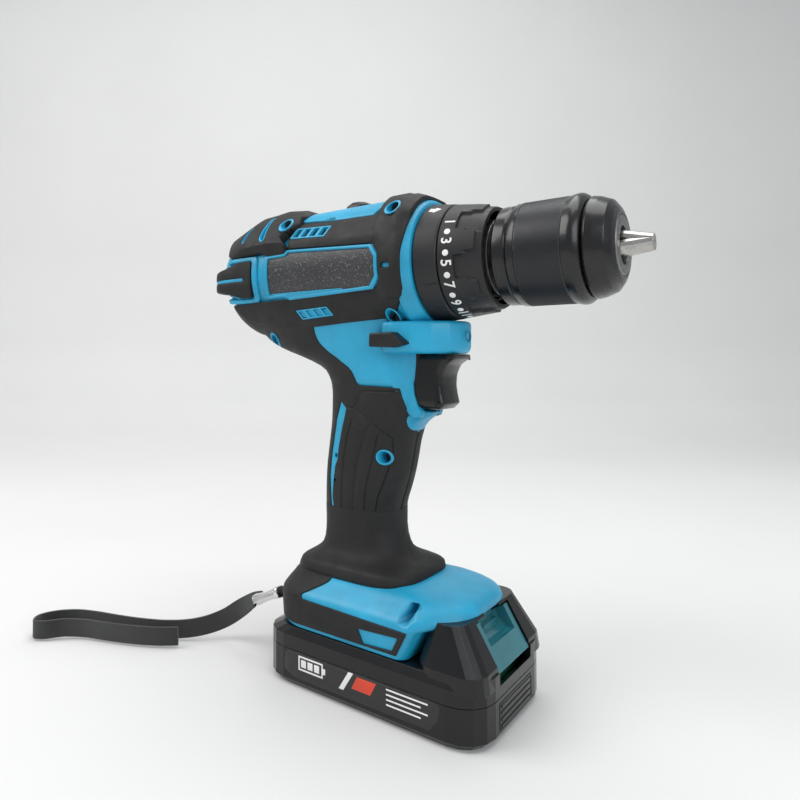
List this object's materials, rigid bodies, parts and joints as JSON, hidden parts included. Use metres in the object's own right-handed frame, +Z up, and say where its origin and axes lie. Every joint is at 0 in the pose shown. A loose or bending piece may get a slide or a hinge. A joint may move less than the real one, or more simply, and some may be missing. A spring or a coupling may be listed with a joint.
{
  "type": "cordless drill driver",
  "caption": "Pistol-grip cordless drill driver with keyless chuck, torque collar, trigger, slide-on battery pack and wrist strap.",
  "frame": {"origin": "middle of the battery's flat foot, on the surface that the drill stands on", "axes": "+X the way the chuck points, +Y to the drill's left side, +Z up"},
  "size_m": [0.3033, 0.1274, 0.2352],
  "materials": {
    "housing": "fine spark-eroded texture, teal blue",
    "overmould": "matte thermoplastic rubber",
    "plate": "satin, with a fine speckle",
    "screw": "black oxide",
    "lens": "clear",
    "motor": "cast and plated",
    "winding": "lacquered copper on laminations",
    "gear": "ground",
    "spring": "drawn wire",
    "collar": "satin black",
    "chuck_sleeve": "black, semi-gloss",
    "jaw_steel": "turned",
    "trigger": "smooth black",
    "pack": "polished black",
    "button": "translucent teal",
    "cell": "sleeved can",
    "board": "solder mask",
    "strap": "woven",
    "crimp": "bright"
  },
  "bodies": {
    "drill": {"housing_right": "housing", "housing_left": "housing", "grip_rubber_right": "overmould", "grip_rubber_left": "overmould", "upper_pad_right": "overmould", "upper_pad_left": "overmould", "lower_pad_right": "overmould", "lower_pad_left": "overmould", "rear_bumper": "overmould", "side_plate_right": "plate", "side_plate_left": "plate", "base_band_right": "overmould", "base_band_left": "overmould", "screw_front_upper": "screw", "screw_rear_upper": "screw", "screw_front_lower": "screw", "screw_rear_lower": "screw", "screw_grip": "screw", "lamp_lens": "lens", "motor_can": "motor", "ring_gear": "gear", "gear_case": "motor", "front_bearing": "gear", "clutch_spring": "spring", "switch_body": "trigger", "trigger_spring": "spring", "terminal_block": "trigger", "strap_cord": "strap", "strap_crimp": "crimp", "strap_webbing": "strap"},
    "rotor": {"rotor_core": "winding", "motor_shaft": "gear"},
    "carrier_one": {"stage_one_carrier": "gear"},
    "planet_1a": {"planet_1a": "gear"},
    "planet_1b": {"planet_1b": "gear"},
    "planet_1c": {"planet_1c": "gear"},
    "chuck": {"spindle": "gear", "chuck_core": "jaw_steel", "chuck_nose_cap": "chuck_sleeve"},
    "planet_2a": {"planet_2a": "gear"},
    "planet_2b": {"planet_2b": "gear"},
    "planet_2c": {"planet_2c": "gear"},
    "sleeve": {"chuck_sleeve": "chuck_sleeve"},
    "jaw_a": {"jaw_a": "jaw_steel"},
    "jaw_b": {"jaw_b": "jaw_steel"},
    "jaw_c": {"jaw_c": "jaw_steel"},
    "mode_ring": {"mode_ring": "collar"},
    "torque_ring": {"torque_ring": "collar"},
    "trigger": {"trigger": "trigger"},
    "direction_selector": {"direction_selector": "trigger"},
    "speed_knob": {"speed_knob": "trigger"},
    "battery": {"pack_lower": "pack", "pack_upper": "pack", "pack_board": "board", "cell_1": "cell", "cell_2": "cell", "cell_3": "cell", "cell_4": "cell", "cell_5": "cell"},
    "release_button": {"release_button": "button"}
  },
  "joints": [
    {"name": "rotor_spin", "type": "hinge", "parent": "drill", "child": "rotor", "pos_m": [0, 0, 0.1984], "axis": [1, 0, 0], "continuous": true},
    {"name": "chuck_spin", "type": "hinge", "parent": "drill", "child": "chuck", "pos_m": [0, 0, 0.1984], "axis": [1, 0, 0], "continuous": true},
    {"name": "carrier_one_spin", "type": "hinge", "parent": "drill", "child": "carrier_one", "pos_m": [0, 0, 0.1984], "axis": [1, 0, 0], "continuous": true},
    {"name": "planet_1a_spin", "type": "hinge", "parent": "carrier_one", "child": "planet_1a", "pos_m": [0, 0.0096, 0.1984], "axis": [1, 0, 0], "continuous": true},
    {"name": "planet_2a_spin", "type": "hinge", "parent": "chuck", "child": "planet_2a", "pos_m": [0, 0.0096, 0.1984], "axis": [1, 0, 0], "continuous": true},
    {"name": "planet_1b_spin", "type": "hinge", "parent": "carrier_one", "child": "planet_1b", "pos_m": [0, -0.0048, 0.20671], "axis": [1, 0, 0], "continuous": true},
    {"name": "planet_2b_spin", "type": "hinge", "parent": "chuck", "child": "planet_2b", "pos_m": [0, -0.0048, 0.20671], "axis": [1, 0, 0], "continuous": true},
    {"name": "planet_1c_spin", "type": "hinge", "parent": "carrier_one", "child": "planet_1c", "pos_m": [0, -0.0048, 0.19009], "axis": [1, 0, 0], "continuous": true},
    {"name": "planet_2c_spin", "type": "hinge", "parent": "chuck", "child": "planet_2c", "pos_m": [0, -0.0048, 0.19009], "axis": [1, 0, 0], "continuous": true},
    {"name": "sleeve_turn", "type": "hinge", "parent": "chuck", "child": "sleeve", "pos_m": [0, 0, 0.1984], "axis": [1, 0, 0], "range_deg": [0, 2520]},
    {"name": "jaw_a_slide", "type": "slide", "parent": "chuck", "child": "jaw_a", "axis": [-0.9744, 0, 0.225], "range_m": [0, 0.02]},
    {"name": "jaw_b_slide", "type": "slide", "parent": "chuck", "child": "jaw_b", "axis": [-0.9744, -0.1948, -0.1125], "range_m": [0, 0.02]},
    {"name": "jaw_c_slide", "type": "slide", "parent": "chuck", "child": "jaw_c", "axis": [-0.9744, 0.1948, -0.1125], "range_m": [0, 0.02]},
    {"name": "mode_ring_turn", "type": "hinge", "parent": "drill", "child": "mode_ring", "pos_m": [0, 0, 0.1984], "axis": [-1, 0, 0], "range_deg": [0, 60]},
    {"name": "torque_ring_turn", "type": "hinge", "parent": "drill", "child": "torque_ring", "pos_m": [0, 0, 0.1984], "axis": [-1, 0, 0], "range_deg": [0, 280]},
    {"name": "trigger_pull", "type": "slide", "parent": "drill", "child": "trigger", "axis": [-1, 0, 0], "range_m": [0, 0.0065], "stiffness_N_per_m": 900, "springref_m": -0.003, "deforming": ["trigger_spring"]},
    {"name": "selector_slide", "type": "slide", "parent": "drill", "child": "direction_selector", "axis": [0, 1, 0], "range_m": [-0.003, 0.003]},
    {"name": "speed_knob_slide", "type": "slide", "parent": "drill", "child": "speed_knob", "axis": [1, 0, 0], "range_m": [0, 0.007]},
    {"name": "battery_slide", "type": "slide", "parent": "drill", "child": "battery", "axis": [1, 0, 0], "range_m": [0, 0.085]},
    {"name": "release_press", "type": "slide", "parent": "battery", "child": "release_button", "axis": [0.511, 0, -0.8596], "range_m": [0, 0.0035], "stiffness_N_per_m": 1500, "springref_m": -0.002}
  ],
  "couplings": [
    {"joint": "chuck_spin", "follows": "rotor_spin", "ratio": 0.035156},
    {"joint": "carrier_one_spin", "follows": "rotor_spin", "ratio": 0.1875},
    {"joint": "planet_1a_spin", "follows": "rotor_spin", "ratio": -0.4875},
    {"joint": "planet_2a_spin", "follows": "rotor_spin", "ratio": -0.091406},
    {"joint": "planet_1b_spin", "follows": "rotor_spin", "ratio": -0.4875},
    {"joint": "planet_2b_spin", "follows": "rotor_spin", "ratio": -0.091406},
    {"joint": "planet_1c_spin", "follows": "rotor_spin", "ratio": -0.4875},
    {"joint": "planet_2c_spin", "follows": "rotor_spin", "ratio": -0.091406},
    {"joint": "jaw_a_slide", "follows": "sleeve_turn", "m_per_rad": 0.00045473},
    {"joint": "jaw_b_slide", "follows": "sleeve_turn", "m_per_rad": 0.00045473},
    {"joint": "jaw_c_slide", "follows": "sleeve_turn", "m_per_rad": 0.00045473}
  ]
}
